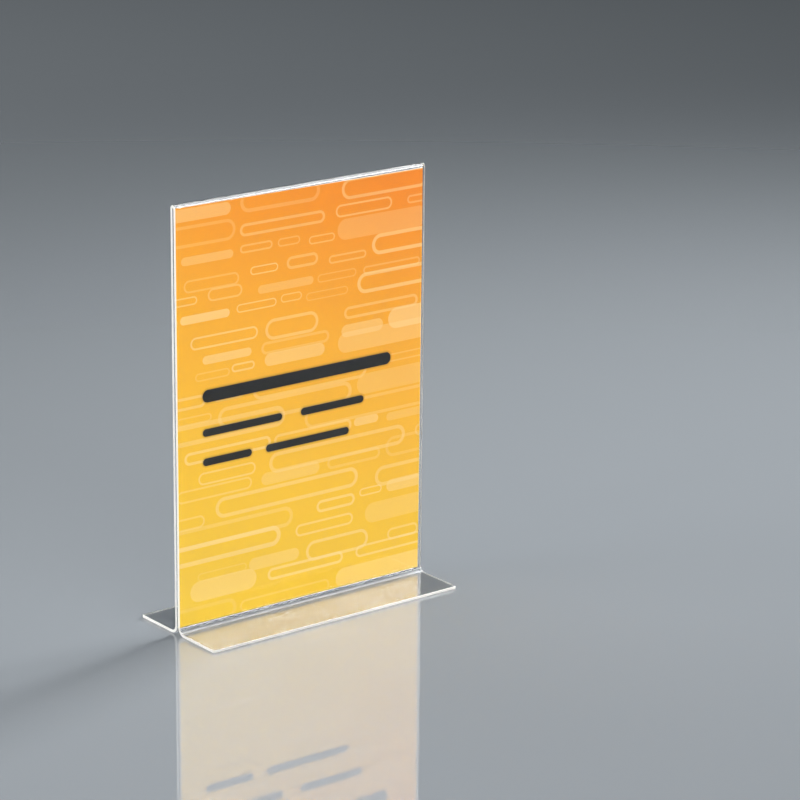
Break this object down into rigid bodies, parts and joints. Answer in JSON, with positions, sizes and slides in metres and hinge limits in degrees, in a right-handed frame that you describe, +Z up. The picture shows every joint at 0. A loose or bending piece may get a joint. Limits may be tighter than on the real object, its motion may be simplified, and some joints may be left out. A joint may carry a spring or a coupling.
{
  "type": "tabletop sign holder",
  "caption": "Clear T-shaped tabletop sign holder: a folded acrylic sheet makes an upright sleeve on flat base flaps, and holds a portrait print that slides out sideways.",
  "frame": {"origin": "middle of the base, on the surface that the stand rests on", "axes": "+X along the width, which is the way the insert slides; -Y out of the front; +Z up"},
  "size_m": [0.212, 0.087, 0.305],
  "materials": {
    "clear_sheet": "clear, glossy acrylic with bright cut edges",
    "printed_card": "satin print, orange at the top to yellow at the foot, white back"
  },
  "bodies": {
    "stand": {"front_flap": "clear_sheet", "front_foot_bend": "clear_sheet", "front_panel": "clear_sheet", "top_fold": "clear_sheet", "rear_panel": "clear_sheet", "rear_foot_bend": "clear_sheet", "rear_flap": "clear_sheet"},
    "print": {"insert": "printed_card"}
  },
  "joints": [
    {"name": "insert_slide", "type": "slide", "parent": "stand", "child": "print", "axis": [1, 0, 0], "range_m": [-0.215, 0.215]}
  ]
}
